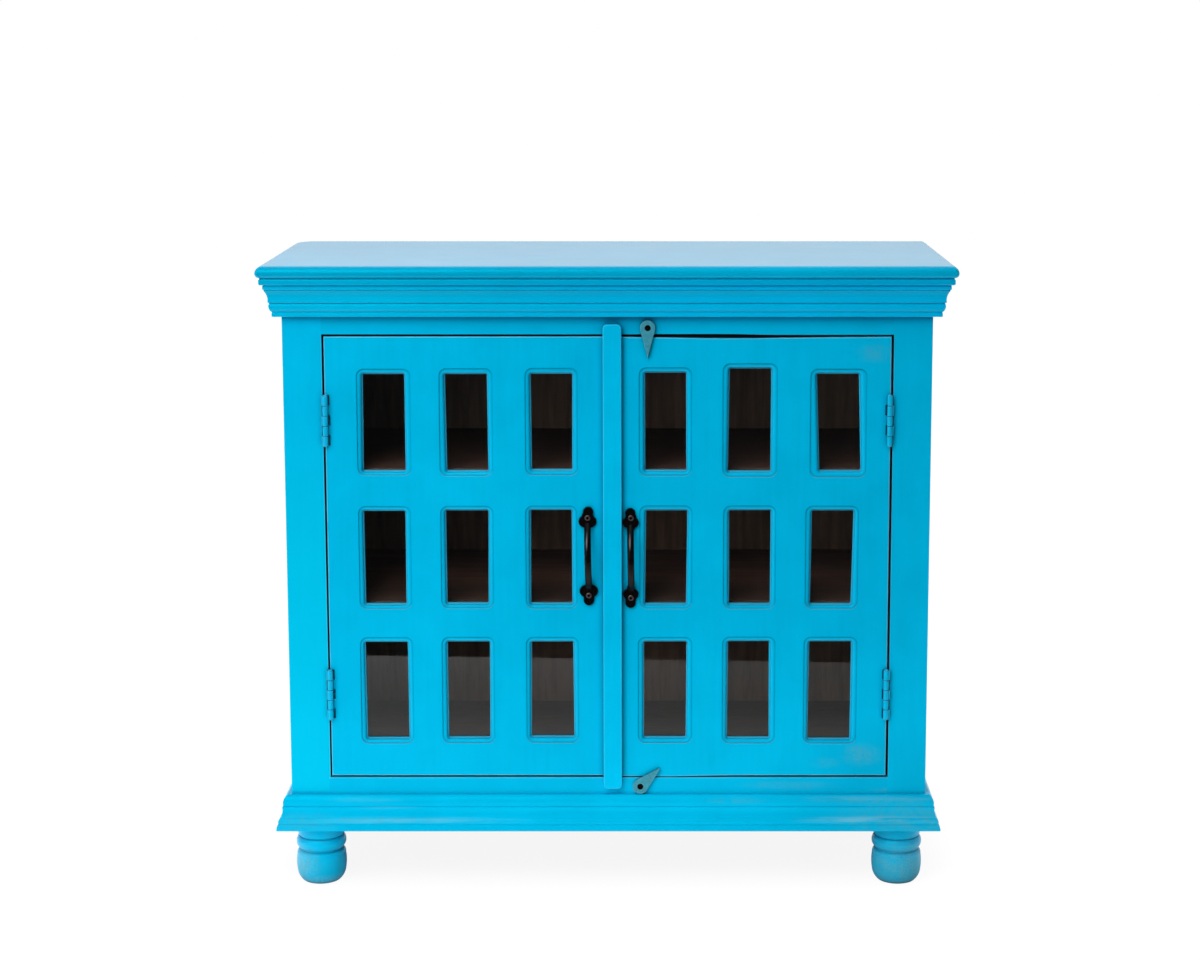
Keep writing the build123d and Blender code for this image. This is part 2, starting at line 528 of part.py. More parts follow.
FACE_L = FACE                                  # face of the left door
FACE_R = FACE - DOOR_PROUD                     # face of the right door
PLATES_L = ((54.0, 62.0, 69.0, 9.3, 9.0, 8.1, 4.7, 1.1), (54.6, 61.8, 68.8, 9.4, 8.9, 8.3, 4.9, 0.0))
PLATES_R = ((55.0, 62.6, 69.8, 8.4, 8.8, 7.9, 4.1, -0.8), (56.8, 63.6, 70.2, 8.2, 8.4, 8.1, 3.9, -0.6))
with BuildPart() as left_handle_screws:
    add(pull_screws(*HANDLE_L, FACE_L, 60.0, 61.0, 0.0145))
keep(left_handle_screws, "left_handle_screws")
with BuildPart() as right_handle_screws:
    add(pull_screws(*HANDLE_R, FACE_R, 62.6, 62.0, 0.0))
keep(right_handle_screws, "right_handle_screws")
with BuildPart() as left_handle:
    add(pull(*HANDLE_L, FACE_L, left_handle_screws.part, PLATES_L, 5.2, 0.0145, 0.0187))
keep(left_handle, "left_handle")
with BuildPart() as right_handle:
    add(pull(*HANDLE_R, FACE_R, right_handle_screws.part, PLATES_R, 5.25, 0.0, 0.0150))
keep(right_handle, "right_handle")


# ---------------------------------------------------------------- doors
def opening_shape(w, grow, corner):
    """The outline of one opening, grown on all sides, in the sketch plane of the door face."""
    xlt, xlb, xrt, xrb, zt, zb = w[:6]
    with BuildSketch() as shape:
        Polygon((xlb - grow, zb - grow), (xrb + grow, zb - grow), (xrt + grow, zt + grow), (xlt - grow, zt + grow), align=None)
        fillet(shape.vertices(), radius=corner)
    return shape.sketch


def edges_round(door, windows, y, grow):
    """Edges of the openings that lie in the plane y."""
    found = []
    for e in door.edges().filter_by_position(Axis.Y, y - 0.01, y + 0.01):
        c = e.center()
        for xlt, xlb, xrt, xrb, zt, zb in (w[:6] for w in windows):
            up = (c.Z - zb) / (zt - zb)
            x_left, x_right = xlb + (xlt - xlb) * up, xrb + (xrt - xrb) * up
            if x_left - grow < c.X < x_right + grow and zb - grow < c.Z < zt + grow:
                found.append(e)
                break
    return found


def door_panel(outline, face, windows, glaze, sign, hinge_screws, handle_screws, seats):
    """A door slab with nine moulded windows and a glazing rebate behind them."""
    back = face + DOOR_T
    with BuildPart() as door:
        with BuildSketch(Plane.XZ.offset(-face)):
            add(outline)
        extrude(amount=-DOOR_T)
        fillet(door.edges().group_by(Axis.Y)[0], radius=1.1)
        # sunk margins
        with BuildSketch(Plane.XZ.offset(-face)):
            for w in windows:
                x0, x1, z1, z0 = w[6:]
                with Locations(((x0 + x1) / 2, (z0 + z1) / 2)):
                    RectangleRounded(x1 - x0, z1 - z0, 11.5)
        extrude(amount=-SINK, mode=Mode.SUBTRACT)
        x0, x1, z0, z1 = glaze
        slab(x0, x1, back - REBATE, back + 1, z0, z1, mode=Mode.SUBTRACT)
        # stepped ledges, rounded over at their upper edge
        with BuildSketch(Plane.XZ.offset(-face)):
            for w in windows:
                add(opening_shape(w, RIM, 4.6))
        extrude(amount=-RIM_DEPTH, mode=Mode.SUBTRACT)
        fillet(edges_round(door, windows, face + SINK, RIM + 0.6), radius=OVOLO)
        # openings
        with BuildSketch(Plane.XZ.offset(-face)):
            for w in windows:
                add(opening_shape(w, 0.0, 2.0))
        extrude(amount=-DOOR_T, mode=Mode.SUBTRACT)
        fillet(edges_round(door, windows, face + RIM_DEPTH, 0.5), radius=1.0)
        # hinge leaf seats, and the notches behind the frame's knuckles
        for z, which, widths in seats:
            a, b = sorted((sign * (DOOR_EDGE + 1), sign * (LEAF_DOOR - LEAF_T)))
            slab(a, b, face - 1, FACE + LEAF_D, z - HINGE_H / 2, z + HINGE_H / 2, mode=Mode.SUBTRACT)
            for k, width in zip(which, widths):
                a, b = sorted((sign * (DOOR_EDGE + 1), sign * (PIN_X - KNUCKLE_R - width)))
                top = z + HINGE_H / 2 - k * KN
                slab(a, b, face - 1, face + 7.0, top - KN - 0.2, top + 0.2, mode=Mode.SUBTRACT)
        add(hinge_screws, mode=Mode.SUBTRACT)
        add(handle_screws, mode=Mode.SUBTRACT)
    return door.part


with BuildSketch() as left_outline:
    Polygon((-428.4, 175.8), (-1.0, 176.0), (-1.0, 861.9), (-429.0, 861.8), align=None)

# the right door's ends were planed by hand: hollow along the top, proud of line at the bottom near the middle
with BuildSketch() as right_outline:
    Polygon((1.0, 175.0), (30.0, 174.6), (95.0, 174.1), (120.0, 174.5), (145.0, 175.1), (200.0, 175.9), (DOOR_EDGE, 176.0),
            (DOOR_EDGE, 861.5), (351.0, 860.9), (270.0, 860.0), (225.0, 859.3), (180.0, 859.0), (140.0, 859.3),
            (105.0, 860.1), (28.0, 861.2), (1.0, 861.6), align=None)

with BuildPart() as left_door_panel:
    add(door_panel(left_outline.sketch, FACE_L, WIN_L, GLAZE_L, -1, left_door_hinge_screws.part,
                   left_handle_screws.part, ((HINGE_Z[0], OUTER, (2.1, 3.4, 3.0)), (HINGE_Z[1], OUTER, (2.4, 3.2, 2.8)))))
keep(left_door_panel, "left_door_panel")

with BuildPart() as right_door_panel:
    add(door_panel(right_outline.sketch, FACE_R, WIN_R, GLAZE_R, 1, right_door_hinge_screws.part,
                   right_handle_screws.part, ((HINGE_Z[0], INNER, (2.6, 1.8)), (HINGE_Z[1], OUTER, (1.5, 1.7, 1.5)))))
keep(right_door_panel, "right_door_panel")

for side, face, glaze in (("left", FACE_L, GLAZE_L), ("right", FACE_R, GLAZE_R)):
    x0, x1, z0, z1 = glaze
    back = face + DOOR_T
    with BuildPart() as glass:
        slab(x0 + 1, x1 - 1, back - REBATE, back - REBATE + GLASS_T, z0 + 1, z1 - 1)
    keep(glass, f"{side}_door_glass")
    with BuildPart() as beads:
        slab(x0, x1, back - REBATE + GLASS_T, back, z0, z1)
        slab(x0 + BEAD_W, x1 - BEAD_W, back - REBATE + GLASS_T, back, z0 + BEAD_W, z1 - BEAD_W, mode=Mode.SUBTRACT)
    keep(beads, f"{side}_glazing_beads")

# cover strip: fixed to the right door, laps over the left door and both rails
with BuildPart() as centre_strip:
    with BuildSketch(Plane.XZ.offset(-FACE_R)):
        with Locations(((STRIP_X0 + STRIP_X1) / 2, (STRIP_Z0 + STRIP_Z1) / 2)):
            RectangleRounded(STRIP_X1 - STRIP_X0, STRIP_Z1 - STRIP_Z0, 7.0)
    extrude(amount=STRIP_T)
    fillet(centre_strip.edges().group_by(Axis.Y)[0], radius=1.5)
keep(centre_strip, "centre_strip")

# ---------------------------------------------------------------- turn-buttons
for name, (px, pz, ang, length) in (("top_turn_button", BUTTON_TOP), ("bottom_turn_button", BUTTON_BOT)):
    with BuildPart() as button:
        half = acos(BUTTON_R / length)
        with BuildSketch(Plane(origin=(px, BUTTON_Y, pz), x_dir=(cos(radians(ang)), 0, sin(radians(ang))), z_dir=(0, -1, 0))) as tear:
            Circle(BUTTON_R)
            Polygon((length, 0), (BUTTON_R * cos(half), BUTTON_R * sin(half)),
                    (BUTTON_R * cos(half), -BUTTON_R * sin(half)), align=None)
            tip = tear.vertices().sort_by(lambda v: (v.X - px) * cos(radians(ang)) + (v.Z - pz) * sin(radians(ang)))[-1]
            fillet(tip, radius=0.8)
        extrude(amount=BUTTON_T)
        fillet(button.edges().group_by(Axis.Y)[0], radius=0.7)
        with BuildSketch(Plane(origin=(px, BUTTON_Y, pz), x_dir=(1, 0, 0), z_dir=(0, -1, 0))):
            Circle(2.5 + HOLE_FIT)
        extrude(amount=BUTTON_T, mode=Mode.SUBTRACT)
        with BuildSketch(Plane(origin=(px, HEAD_Y, pz), x_dir=(1, 0, 0), z_dir=(0, -1, 0))):
            Circle(4.9)
        extrude(amount=BUTTON_T, mode=Mode.SUBTRACT)
    keep(button, name)

print(len(parts), "pieces")
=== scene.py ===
import math

import bmesh
import bpy
from mathutils import Matrix, Vector

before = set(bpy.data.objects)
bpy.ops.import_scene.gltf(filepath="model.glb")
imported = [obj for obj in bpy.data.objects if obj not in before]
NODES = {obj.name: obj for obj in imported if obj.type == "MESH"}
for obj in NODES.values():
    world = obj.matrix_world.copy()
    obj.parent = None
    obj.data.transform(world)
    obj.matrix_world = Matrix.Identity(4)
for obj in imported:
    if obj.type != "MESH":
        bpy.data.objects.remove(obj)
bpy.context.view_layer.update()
scene = bpy.context.scene
scene.view_settings.view_transform = "Standard"
scene.view_settings.look = "None"

# ------------------------------------------------------------------ places, metres
FACE = -0.1855                      # plane of the face frame
FACE_R = FACE - 0.0003              # face of the right door
HALF_BODY = 0.4913


# ------------------------------------------------------------------ node helpers
class Mat:
    """A procedural material around one Principled shader."""

    def __init__(self, name):
        self.mat = bpy.data.materials.new(name)
        self.mat.use_nodes = True
        self.tree = self.mat.node_tree
        self.tree.nodes.clear()
        self.out = self.node("ShaderNodeOutputMaterial")
        self.shader = self.node("ShaderNodeBsdfPrincipled")
        self.join(self.shader.outputs[0], self.out.inputs[0])
        self.coord = self.node("ShaderNodeTexCoord").outputs["Object"]

    def node(self, kind, **settings):
        n = self.tree.nodes.new(kind)
        for k, v in settings.items():
            setattr(n, k, v)
        return n

    def join(self, a, b):
        self.tree.links.new(a, b)

    def put(self, socket, value):
        if isinstance(value, bpy.types.NodeSocket):
            self.join(value, socket)
        else:
            socket.default_value = value

    def base(self, **sockets):
        names = {"color": "Base Color", "metallic": "Metallic", "roughness": "Roughness", "ior": "IOR",
                 "specular": "Specular IOR Level", "coat": "Coat Weight", "coat_rough": "Coat Roughness",
                 "transmission": "Transmission Weight", "normal": "Normal", "coat_ior": "Coat IOR",
                 "tint": "Specular Tint"}
        for k, v in sockets.items():
            self.put(self.shader.inputs[names[k]], v)

    def place(self, scale=(1, 1, 1), offset=(0, 0, 0), turn=(0, 0, 0), vector=None):
        m = self.node("ShaderNodeMapping")
        self.join(vector or self.coord, m.inputs["Vector"])
        m.inputs["Scale"].default_value = scale
        m.inputs["Location"].default_value = offset
        m.inputs["Rotation"].default_value = turn
        return m.outputs[0]

    def noise(self, scale, detail=3.0, rough=0.5, vector=None, distortion=0.0, kind=None):
        n = self.node("ShaderNodeTexNoise")
        if kind:
            n.noise_type = kind
        self.join(vector or self.coord, n.inputs["Vector"])
        n.inputs["Scale"].default_value = scale
        n.inputs["Detail"].default_value = detail
        n.inputs["Roughness"].default_value = rough
        n.inputs["Distortion"].default_value = distortion
        return n.outputs["Fac"]

    def voronoi(self, scale, vector=None, feature="F1", rand=1.0):
        n = self.node("ShaderNodeTexVoronoi", feature=feature)
        self.join(vector or self.coord, n.inputs["Vector"])
        n.inputs["Scale"].default_value = scale
        n.inputs["Randomness"].default_value = rand
        return n.outputs["Distance"]

    def math(self, op, a, b=0.0, c=0.0, clamp=False):
        n = self.node("ShaderNodeMath", operation=op, use_clamp=clamp)
        self.put(n.inputs[0], a)
        self.put(n.inputs[1], b)
        if op in ("MULTIPLY_ADD", "COMPARE", "SMOOTH_MIN", "SMOOTH_MAX"):
            self.put(n.inputs[2], c)
        return n.outputs[0]

    def span(self, value, a, b, c=0.0, d=1.0, smooth=False):
        n = self.node("ShaderNodeMapRange", clamp=True)
        if smooth:
            n.interpolation_type = "SMOOTHSTEP"
        self.put(n.inputs["Value"], value)
        for k, v in zip(("From Min", "From Max", "To Min", "To Max"), (a, b, c, d)):
            n.inputs[k].default_value = v
        return n.outputs["Result"]

    def ramp(self, value, stops, ease="LINEAR"):
        n = self.node("ShaderNodeValToRGB")
        n.color_ramp.interpolation = ease
        e = n.color_ramp.elements
        while len(e) < len(stops):
            e.new(0.5)
        for item, (at, col) in zip(e, stops):
            item.position = at
            item.color = (*col, 1.0) if len(col) == 3 else col
        self.join(value, n.inputs[0])
        return n.outputs["Color"]

    def mix(self, factor, a, b, blend="MIX"):
        n = self.node("ShaderNodeMix", data_type="RGBA", blend_type=blend)
        self.put(n.inputs[0], factor)
        for socket, v in ((n.inputs[6], a), (n.inputs[7], b)):
            self.put(socket, (*v, 1.0) if isinstance(v, tuple) and len(v) == 3 else v)
        return n.outputs[2]

    def bump(self, height, strength=0.2, distance=0.001, normal=None):
        n = self.node("ShaderNodeBump")
        self.put(n.inputs["Height"], height)
        n.inputs["Strength"].default_value = strength
        n.inputs["Distance"].default_value = distance
        if normal is not None:
            self.join(normal, n.inputs["Normal"])
        return n.outputs[0]

    def spot(self, centre, radii, soft=0.5):
        """1 inside an ellipsoid, 0 outside it, with a soft rim."""
        sub = self.node("ShaderNodeVectorMath", operation="SUBTRACT")
        self.join(self.coord, sub.inputs[0])
        sub.inputs[1].default_value = centre
        div = self.node("ShaderNodeVectorMath", operation="DIVIDE")
        self.join(sub.outputs[0], div.inputs[0])
        div.inputs[1].default_value = radii
        length = self.node("ShaderNodeVectorMath", operation="LENGTH")
        self.join(div.outputs[0], length.inputs[0])
        return self.span(length.outputs["Value"], 1.0 - soft, 1.0, 1.0, 0.0, smooth=True)

    def rounded(self, radius, axis="Z"):
        """One part of the normal as it would be if the edges were eased by radius, less the true one."""
        bevel = self.node("ShaderNodeBevel", samples=4)
        bevel.inputs["Radius"].default_value = radius
        geo = self.node("ShaderNodeNewGeometry")
        ends = []
        for socket in (bevel.outputs[0], geo.outputs["Normal"]):
            sep = self.node("ShaderNodeSeparateXYZ")
            self.join(socket, sep.inputs[0])
            ends.append(sep.outputs[axis])
        return self.math("SUBTRACT", *ends)

    def open_air(self, distance, samples=6):
        """1 in the open, down to 0 in a crevice or a narrow gap."""
        ao = self.node("ShaderNodeAmbientOcclusion", samples=samples)
        ao.inputs["Distance"].default_value = distance
        return ao.outputs["AO"]

    def arris(self, distance, samples=5):
        """1 along the convex edges of a solid, 0 on its flats and in its hollows."""
        ao = self.node("ShaderNodeAmbientOcclusion", samples=samples, inside=True, only_local=True)
        ao.inputs["Distance"].default_value = distance
        return self.span(ao.outputs["AO"], 0.93, 0.60)

    def either(self, *masks):
        out = masks[0]
        for m in masks[1:]:
            out = self.math("MAXIMUM", out, m)
        return out

    def part(self, axis):
        sep = self.node("ShaderNodeSeparateXYZ")
        self.join(self.coord, sep.inputs[0])
        return sep.outputs[axis]


def srgb(r, g, b):
    return tuple((c / 255 / 12.92) if c <= 10.3 else ((c / 255 + 0.055) / 1.055) ** 2.4 for c in (r, g, b))


# ------------------------------------------------------------------ materials
PAINT_DARK = (0.0, 0.405, 0.675)
PAINT_MID = (0.0, 0.445, 0.738)
PAINT_LIGHT = (0.0, 0.487, 0.800)
DEEP = (0.0, 0.085, 0.165)
BLACK = (0.0006, 0.0014, 0.0018)
WORN_TONE = (0.060, 0.36, 0.50)
PALE_TONE = (0.33, 0.62, 0.72)
GLOSS_TINT = (0.0, 0.85, 1.0, 1.0)


def paint(name, along="X", worn=(), pale=(), lines=None, rough=0.34, ledge=0.0, all_over=0.0, near=0.010, gain=1.0,
          gloom=0.72, red=0.0, lighter=None, black=1.0, painted_shade_bands=(), brush=0.10, speckled=False, duller=0.0, less_shade=None, streaks=0.20, mottle=0.18, dim=(), rays=6, lighter_to=(0.0, 0.545, 0.80)):
    """Satin enamel brushed on wood. along is the axis of the brush and the grain."""
    m = Mat(name)
    stretch = {"X": (1.0, 16.0, 16.0), "Z": (16.0, 16.0, 1.0), "Y": (16.0, 1.0, 16.0)}[along]
    cloud = m.noise(3.1, 3.0, 0.55)
    blotch = m.noise(17.0, 3.0, 0.6)
    stroke = m.noise(9.0, 4.0, 0.6, m.place(stretch))
    fine = m.noise(60.0, 3.0, 0.6, m.place(stretch))
    grain = m.noise(620.0, 2.0, 0.8)
    grit = m.noise(900.0, 2.0, 0.7)
    tone = m.math("ADD", m.math("MULTIPLY", cloud, 0.50), m.math("MULTIPLY", blotch, 0.30))
    tone = m.math("ADD", tone, m.math("MULTIPLY", m.math("SUBTRACT", stroke, 0.5), streaks))
    tone = m.math("ADD", tone, 0.10)
    tone = m.math("ADD", tone, m.math("MULTIPLY", m.math("SUBTRACT", grain, 0.5), 0.22))
    stops = [(0.34, PAINT_DARK), (0.50, PAINT_MID), (0.66, PAINT_LIGHT)]
    colour = m.ramp(tone, [(a, (0.0, col[1] * gain, col[2] * gain)) for a, col in stops])
    if red:
        # painted reflection: the flat of the top is greyed with added red; painted shade on the nose, strongest at the
        # left
        flat = m.span(m.part("Z"), 0.9694, 0.9706)
        colour = m.mix(flat, m.mix(m.span(m.part("X"), -0.36, 0.30, 0.215, 0.045, smooth=True), colour, DEEP), m.mix(1.0, colour, (red, 0.0, 0.0), "ADD"))
    if duller:
        # darker towards the right end
        colour = m.mix(m.span(m.part("X"), 0.16, 0.44, 0.0, duller, smooth=True), colour, DEEP)
    # a lighter tone where the mask says: painted light on the stiles and just above the base, a bluer coat towards the
    # right of the cornice
    if lighter:
        colour = m.mix(lighter(m), colour, lighter_to)
    for centre, radii, amount in dim:
        colour = m.mix(m.math("MULTIPLY", m.spot(centre, radii, 1.0), amount), colour, DEEP)
    # thin grey patches where the paint is rubbed
    rub = m.math("MULTIPLY", m.span(m.noise(38.0, 4.0, 0.65), 0.40, 0.60), all_over)
    for centre, radii, amount in worn:
        here = m.math("MULTIPLY", m.spot(centre, radii, 0.85), m.span(m.noise(70.0, 5.0, 0.7), 0.34, 0.60))
        rub = m.math("MAXIMUM", rub, m.math("MULTIPLY", here, amount))
    rub = m.math("MULTIPLY", rub, m.span(grit, 0.30, 0.52, 0.55, 1.0))
    if ledge:
        deep = m.math("SUBTRACT", m.part("Y"), FACE)
        rim = m.math("MULTIPLY", m.span(deep, 0.0066, 0.0072), m.span(m.noise(45.0, 4.0, 0.6), 0.30, 0.55, 0.4 * ledge, ledge))
        rub = m.math("MAXIMUM", rub, rim)
    colour = m.mix(rub, colour, WORN_TONE)
    # painted shade and old grime in the crevices and the gaps, by ambient occlusion
    air = m.open_air(near, rays)
    if less_shade:
        # less painted shade in this joint
        air = m.math("ADD", air, less_shade(m))
    if ledge:
        # painted shade on the round-over of each window; painted highlights on edges that face up, painted shade on
        # edges that face down and on edges that face sideways, most on those that face right, and less painted crevice
        # shade on edges that face up
        tilt = m.rounded(0.0014)
        lean = m.rounded(0.0014, "X")
        fall = m.math("MULTIPLY", m.span(deep, 0.0030, 0.0052), m.span(deep, 0.0062, 0.0070, 1.0, 0.0))
        colour = m.mix(m.math("MULTIPLY", fall, 0.34), colour, DEEP)
        colour = m.mix(m.span(tilt, 0.06, 0.40, 0.0, 0.40), colour, PALE_TONE)
        colour = m.mix(m.span(tilt, -0.04, -0.30, 0.0, 0.80), colour, DEEP)
        colour = m.mix(m.span(lean, 0.04, 0.30, 0.0, 0.42), colour, DEEP)
        colour = m.mix(m.span(lean, -0.04, -0.30, 0.0, 0.10), colour, DEEP)
        air = m.math("ADD", air, m.span(tilt, 0.03, 0.20, 0.0, 0.16))
    # painted shade: darker towards DEEP where little open air is around
    colour = m.mix(m.span(air, 0.95, 0.32, 0.0, gloom), colour, DEEP)
    for low, high, amount in painted_shade_bands:
        # painted shade along the members of a moulding: heights and how dark
        z = m.part("Z")
        shade_band = m.math("MULTIPLY", m.span(z, low - 0.0006, low + 0.0004), m.span(z, high - 0.0016, high + 0.0012, 1.0, 0.0, smooth=True))
        colour = m.mix(m.math("MULTIPLY", shade_band, amount), colour, DEEP)
    # pale arrises, partly worn paint and partly painted highlight, and pale streaks
    lift = None
    if lines:
        lift = m.math("MULTIPLY", m.arris(0.0018), m.span(m.noise(26.0, 4.0, 0.65), 0.34, 0.58, 0.40, 1.0))
        lift = m.math("MULTIPLY", m.math("MULTIPLY", lift, lines(m)), m.span(air, 0.42, 0.66))
    for centre, radii, amount in pale:
        broken = m.span(m.noise(430.0, 3.0, 0.7), 0.36, 0.60) if speckled else m.span(stroke, 0.42, 0.58)
        here = m.math("MULTIPLY", m.math("MULTIPLY", m.spot(centre, radii, 0.8), broken), amount)
        lift = m.math("MAXIMUM", lift, here) if lift is not None else here
    if lift is not None:
        colour = m.mix(lift, colour, PALE_TONE)
    # painted shade: near black deep in the gaps and the narrowest crevices
    colour = m.mix(m.span(air, 0.46, 0.24, 0.0, black), colour, BLACK)
    shine = m.math("ADD", m.math("MULTIPLY", m.noise(24.0, 4.0, 0.6), mottle), rough - mottle / 2)
    shine = m.math("ADD", shine, m.math("MULTIPLY", rub, 0.22))
    height = m.math("ADD", m.math("MULTIPLY", fine, 0.5), m.math("MULTIPLY", m.noise(260.0, 3.0, 0.6), 0.35))
    height = m.math("ADD", height, m.math("MULTIPLY", stroke, 0.5))
    m.base(color=colour, roughness=shine, ior=1.5, tint=GLOSS_TINT, normal=m.bump(height, brush, 0.0008))
    return m.mat


def at_door_edge(m):
    """The outline of a door, not its windows."""
    x, z = m.math("ABSOLUTE", m.part("X")), m.part("Z")
    return m.either(m.math("GREATER_THAN", x, 0.4255), m.math("GREATER_THAN", z, 0.8580), m.math("LESS_THAN", z, 0.1795))


def at_rail_edge(m):
    """The edges of the frame that face the doors."""
    z = m.part("Z")
    return m.math("MULTIPLY", m.math("MULTIPLY", m.math("GREATER_THAN", z, 0.1705), m.math("LESS_THAN", z, 0.2)), 0.45)


def at_stile_edge(m):
    x, z = m.math("ABSOLUTE", m.part("X")), m.part("Z")
    inner = m.math("MULTIPLY", m.math("LESS_THAN", x, 0.4350), m.math("MULTIPLY", m.math("GREATER_THAN", z, 0.1740), m.math("LESS_THAN", z, 0.8640)))
    return m.math("MULTIPLY", inner, 0.15)


def left_stile_painted_light(m):
    """Painted light: the left stile is lighter below its middle."""
    left = m.math("LESS_THAN", m.part("X"), -0.40)
    return m.math("MULTIPLY", left, m.span(m.part("Z"), 0.78, 0.52, 0.0, 0.60, smooth=True))


# less painted shade at the joint just above the base
def at_base_joint(m):
    return m.span(m.part("Z"), 0.1580, 0.1530, 0.0, 0.50)


# painted light: the coat just above the base is lighter
def painted_light_at_base(m):
    return m.span(m.part("Z"), 0.1530, 0.1480, 0.0, 0.90)


def in_door_recesses(m):
    """Less painted shade in the notches behind the left knuckles and on the inner edges of the windows."""
    pair = [m.spot((-0.4295, FACE, z), (0.0100, 0.03, 0.0400), 0.1) for z in (0.7334, 0.3057)]
    notches = m.math("MULTIPLY", m.math("MAXIMUM", *pair), 0.14)
    deep = m.math("SUBTRACT", m.part("Y"), FACE)
    windows = m.math("MULTIPLY", m.span(deep, 0.0042, 0.0066, 0.0, 0.34), m.math("SUBTRACT", 1.0, at_door_edge(m)))
    return m.math("MAXIMUM", notches, windows)


def bluer_right(m):
    """The cornice's coat is bluer towards the right."""
    return m.span(m.part("X"), -0.35, 0.20, 0.0, 0.42, smooth=True)


# painted light on the stiles: the left stile below its middle and every upright just above the base
def stiles_painted_light(m):
    return m.math("MAXIMUM", left_stile_painted_light(m), painted_light_at_base(m))


def everywhere(amount):
    return lambda m: amount


def plain_wood(name, dark, light, along="X", rough=0.6, painted_light_at_back=()):
    m = Mat(name)
    stretch = {"X": (1.0, 14.0, 14.0), "Z": (14.0, 14.0, 1.0), "Y": (14.0, 1.0, 14.0)}[along]
    rings = m.noise(7.0, 5.0, 0.6, m.place(stretch), distortion=0.6)
    pores = m.noise(48.0, 3.0, 0.7, m.place(stretch))
    cloud = m.noise(2.5, 2.0, 0.5)
    tone = m.math("ADD", m.math("MULTIPLY", rings, 0.6), m.math("MULTIPLY", pores, 0.25))
    tone = m.math("ADD", tone, m.math("MULTIPLY", cloud, 0.15))
    colour = m.ramp(tone, [(0.35, dark), (0.62, light)])
    if painted_light_at_back:
        # painted light: the wood is paler towards the back
        front, back, paler = painted_light_at_back
        colour = m.mix(m.span(m.part("Y"), front, back, 0.0, 1.0, smooth=True), colour, m.ramp(tone, [(0.35, tuple(paler * c for c in dark)), (0.62, tuple(paler * c for c in light))]))
    m.base(color=colour, roughness=m.span(pores, 0.3, 0.7, rough - 0.1, rough + 0.12),
           normal=m.bump(m.math("ADD", rings, pores), 0.25, 0.0006))
    return m.mat


def iron(name, base=(0.0022, 0.0015, 0.0018), rough=0.13):
    """Black japanned cast iron."""
    m = Mat(name)
    lumps = m.noise(300.0, 3.0, 0.55)
    rub = m.math("MULTIPLY", m.arris(0.0012), m.span(m.noise(420.0, 3.0, 0.6), 0.52, 0.68, 0.0, 0.30))
    colour = m.mix(rub, m.mix(m.noise(90.0, 3.0, 0.6), base, tuple(c * 2.0 for c in base)), (0.045, 0.034, 0.033))
    # a painted highlight, pale, on the upper half of each bow
    for x in (-0.0320, 0.0338):
        colour = m.mix(m.math("MULTIPLY", m.spot((x, FACE - 0.032, 0.5495), (0.0020, 0.03, 0.0150), 0.7), 0.85), colour, (0.125, 0.120, 0.130))
    m.base(color=colour, roughness=m.span(m.noise(210.0, 3.0, 0.6), 0.3, 0.7, rough - 0.04, rough + 0.08), ior=1.5,
           specular=0.12, normal=m.bump(lumps, 0.10, 0.0005))
    return m.mat


def button_paint(name):
    """Teal-grey paint worn thin on a cast button."""
    m = Mat(name)
    cloud = m.noise(120.0, 4.0, 0.65)
    specks = m.span(m.noise(800.0, 3.0, 0.7), 0.50, 0.62)
    rim = m.arris(0.0022)
    colour = m.ramp(cloud, [(0.35, (0.012, 0.205, 0.290)), (0.65, (0.028, 0.310, 0.405))])
    light = m.math("MULTIPLY", m.math("ADD", m.math("MULTIPLY", rim, 0.70), 0.14), m.math("ADD", specks, 0.22, clamp=True), clamp=True)
    colour = m.mix(light, colour, (0.12, 0.43, 0.52))
    # painted shade: near black in the recesses, by ambient occlusion
    recess_shade = m.span(m.open_air(0.004), 0.55, 0.15, 0.0, 0.9, smooth=True)
    colour = m.mix(recess_shade, colour, (0.004, 0.006, 0.007))
    m.base(color=colour, roughness=m.span(cloud, 0.3, 0.7, 0.38, 0.55), ior=1.45,
           normal=m.bump(m.math("ADD", cloud, specks), 0.3, 0.0005))
    return m.mat


def screw_steel(name, base, rough=0.4, metallic=1.0, pits=()):
    """A screw's metal. pits are painted shade in the recesses of round heads: x, z and radius."""
    m = Mat(name)
    grime = m.noise(600.0, 3.0, 0.6)
    colour = m.mix(grime, base, tuple(c * 0.45 for c in base))
    for x, z, r in pits:
        colour = m.mix(m.spot((x, FACE, z), (r, 0.05, r), 0.25), colour, (0.003, 0.002, 0.002))
    m.base(color=colour, metallic=metallic,
           roughness=m.span(grime, 0.3, 0.7, rough, rough + 0.2), normal=m.bump(m.noise(1800.0), 0.2, 0.0003))
    return m.mat


def window_glass(name):
    m = Mat(name)
    dust = m.noise(12.0, 4.0, 0.6)
    m.base(color=(0.93, 0.95, 0.94, 1.0), transmission=1.0, ior=1.42,
           roughness=m.span(dust, 0.35, 0.75, 0.0, 0.045))
    return m.mat


# rubbed places: centre, radii, strength
DOOR_WORN = [((0.404, FACE, 0.836), (0.036, 0.02, 0.020), 0.50), ((0.392, FACE, 0.209), (0.040, 0.02, 0.024), 0.80),
             ((0.336, FACE, 0.196), (0.030, 0.02, 0.012), 0.35)]
BASE_WORN = [((0.42, FACE - 0.012, 0.139), (0.15, 0.03, 0.008), 0.50), ((0.46, FACE - 0.018, 0.112), (0.15, 0.05, 0.034), 0.55),
             ((-0.34, FACE - 0.018, 0.110), (0.18, 0.03, 0.007), 0.40), ((0.20, FACE - 0.012, 0.139), (0.07, 0.03, 0.007), 0.35),
             ((-0.47, FACE - 0.018, 0.106), (0.08, 0.04, 0.020), 0.40)]
